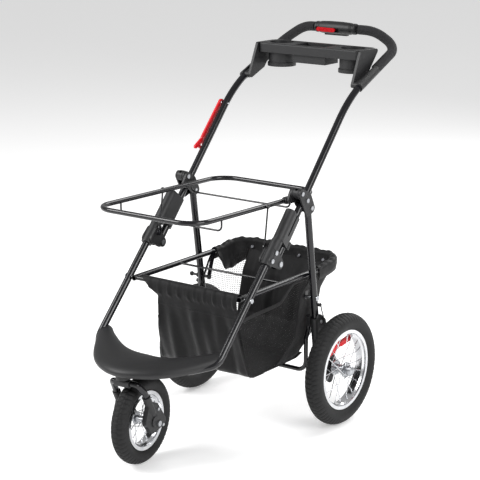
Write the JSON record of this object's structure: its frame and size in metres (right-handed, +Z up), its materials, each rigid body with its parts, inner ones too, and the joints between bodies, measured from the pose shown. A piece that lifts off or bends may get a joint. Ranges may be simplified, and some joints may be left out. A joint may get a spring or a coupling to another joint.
{
  "type": "folding pet stroller",
  "caption": "Folding wheeled pet stroller frame with a caster front wheel, spoked rear wheels, carrier ring, cloth basket, parent tray and a padded handlebar.",
  "frame": {"origin": "on the floor, under the middle of the whole part's bounding box", "axes": "-Y the way it rolls forwards, +X to the side without the storage latch, +Z up"},
  "size_m": [0.572, 1.0121, 1.0366],
  "materials": {
    "tube_paint": "gloss black powder coat",
    "black_nylon": "dark grey textured moulding",
    "foam": "charcoal foam",
    "red_plastic": "red moulding",
    "chrome": "bright chrome plate",
    "zinc_steel": "zinc-plated rivet",
    "tyre": "black rubber with blocky tread",
    "cloth": "black nylon cloth"
  },
  "bodies": {
    "rear_frame": {"rear_leg_right": "tube_paint", "rear_leg_left": "tube_paint", "lower_stay": "tube_paint", "axle_bracket_right": "black_nylon", "axle_bracket_left": "black_nylon", "rear_axles": "zinc_steel", "brake_housings": "black_nylon", "brake_rods": "black_nylon", "rear_leg_rivets": "zinc_steel", "storage_knob": "black_nylon"},
    "rear_wheel_right": {"rear_tyre_right": "tyre", "rear_rim_right": "chrome", "rear_hub_right": "zinc_steel", "rear_spokes_right": "chrome"},
    "rear_wheel_left": {"rear_tyre_left": "tyre", "rear_rim_left": "chrome", "rear_hub_left": "zinc_steel", "rear_spokes_left": "chrome"},
    "brake_lever_right": {"brake_pedal_right": "red_plastic"},
    "brake_lever_left": {"brake_pedal_left": "red_plastic"},
    "handle_frame": {"handle_tube": "tube_paint", "grip_right": "foam", "grip_left": "foam", "release_housing": "black_nylon", "console_tray": "black_nylon", "console_clamps": "black_nylon", "hinge_plates_right": "black_nylon", "hinge_plates_left": "black_nylon", "hinge_drums": "black_nylon", "hinge_pins": "zinc_steel"},
    "safety_button": {"release_button": "red_plastic"},
    "squeeze_bar": {"release_trigger": "black_nylon"},
    "latch": {"storage_latch": "red_plastic"},
    "sleeve_right": {"fold_sleeve_right": "black_nylon"},
    "sleeve_left": {"fold_sleeve_left": "black_nylon"},
    "front_leg_frame": {"front_leg_tube": "tube_paint", "leg_bracket_right": "black_nylon", "leg_bracket_left": "black_nylon", "front_leg_pins": "zinc_steel", "nose_cap": "black_nylon"},
    "caster": {"kingpin": "zinc_steel", "fork_crown": "black_nylon", "fork_tubes": "tube_paint", "fork_boot_right": "black_nylon", "fork_boot_left": "black_nylon", "front_axle": "zinc_steel"},
    "front_wheel": {"front_tyre": "tyre", "front_rim": "chrome", "front_hub": "zinc_steel", "front_spokes": "chrome"},
    "carrier_ring": {"seat_ring": "tube_paint", "ring_wires": "tube_paint", "ring_knuckles": "black_nylon"},
    "strut_links": {"struts": "tube_paint"},
    "basket_frame": {"side_rails": "tube_paint", "basket_hoop": "tube_paint", "basket_bars": "tube_paint", "rail_links": "tube_paint", "basket": "cloth", "basket_snaps": "black_nylon"}
  },
  "joints": [
    {"name": "frame_fold", "type": "hinge", "parent": "rear_frame", "child": "handle_frame", "pos_m": [0, 0.0568, 0.605], "axis": [-1, 0, 0], "range_deg": [0, 106], "deforming": ["basket"]},
    {"name": "leg_fold", "type": "hinge", "parent": "handle_frame", "child": "front_leg_frame", "pos_m": [0, -0.09, 0.487], "axis": [1, 0, 0], "range_deg": [0, 150]},
    {"name": "basket_fold", "type": "hinge", "parent": "rear_frame", "child": "basket_frame", "pos_m": [0, 0.0928, 0.352], "axis": [-1, 0, 0], "range_deg": [0, 51.6]},
    {"name": "ring_fold", "type": "hinge", "parent": "handle_frame", "child": "carrier_ring", "pos_m": [0, 0.0128, 0.65], "axis": [1, 0, 0], "range_deg": [0, 55.1]},
    {"name": "strut_fold", "type": "hinge", "parent": "carrier_ring", "child": "strut_links", "pos_m": [0, -0.0942, 0.633], "axis": [-1, 0, 0], "range_deg": [0, 72.1]},
    {"name": "caster_swivel", "type": "hinge", "parent": "front_leg_frame", "child": "caster", "pos_m": [0, -0.4647, 0.24], "axis": [0, 0, 1], "continuous": true},
    {"name": "front_wheel_spin", "type": "hinge", "parent": "caster", "child": "front_wheel", "pos_m": [-0.00662, -0.392, 0.1142], "axis": [0.9959, 0.0906, 0], "continuous": true},
    {"name": "rear_wheel_spin_right", "type": "hinge", "parent": "rear_frame", "child": "rear_wheel_right", "pos_m": [0.246, 0.1418, 0.1525], "axis": [1, 0, 0], "continuous": true},
    {"name": "rear_wheel_spin_left", "type": "hinge", "parent": "rear_frame", "child": "rear_wheel_left", "pos_m": [-0.246, 0.1418, 0.1525], "axis": [1, 0, 0], "continuous": true},
    {"name": "brake_press_right", "type": "hinge", "parent": "rear_frame", "child": "brake_lever_right", "pos_m": [0.2146, 0.1338, 0.189], "axis": [-1, 0, 0], "range_deg": [0, 18]},
    {"name": "brake_press_left", "type": "hinge", "parent": "rear_frame", "child": "brake_lever_left", "pos_m": [-0.2146, 0.1338, 0.189], "axis": [-1, 0, 0], "range_deg": [0, 18]},
    {"name": "button_slide", "type": "slide", "parent": "handle_frame", "child": "safety_button", "axis": [1, 0, 0], "range_m": [0, 0.01]},
    {"name": "squeeze", "type": "slide", "parent": "handle_frame", "child": "squeeze_bar", "axis": [0, 0, 1], "range_m": [0, 0.002], "stiffness_N_per_m": 600, "springref_m": -0.001},
    {"name": "sleeve_lift_right", "type": "slide", "parent": "handle_frame", "child": "sleeve_right", "axis": [0, 0.6657, 0.7463], "range_m": [0, 0.016]},
    {"name": "sleeve_lift_left", "type": "slide", "parent": "handle_frame", "child": "sleeve_left", "axis": [0, 0.6657, 0.7463], "range_m": [0, 0.016]},
    {"name": "latch_turn", "type": "hinge", "parent": "handle_frame", "child": "latch", "pos_m": [-0.2055, 0.2084, 0.8215], "axis": [1, 0, 0], "range_deg": [0, 77.8]}
  ],
  "couplings": [
    {"joint": "leg_fold", "follows": "frame_fold", "ratio": 1.415},
    {"joint": "basket_fold", "follows": "frame_fold", "ratio": 0.4858},
    {"joint": "ring_fold", "follows": "frame_fold", "ratio": 0.5188},
    {"joint": "strut_fold", "follows": "frame_fold", "ratio": 0.679},
    {"joint": "sleeve_lift_right", "follows": "squeeze", "ratio": 7.5},
    {"joint": "sleeve_lift_left", "follows": "squeeze", "ratio": 7.5}
  ]
}
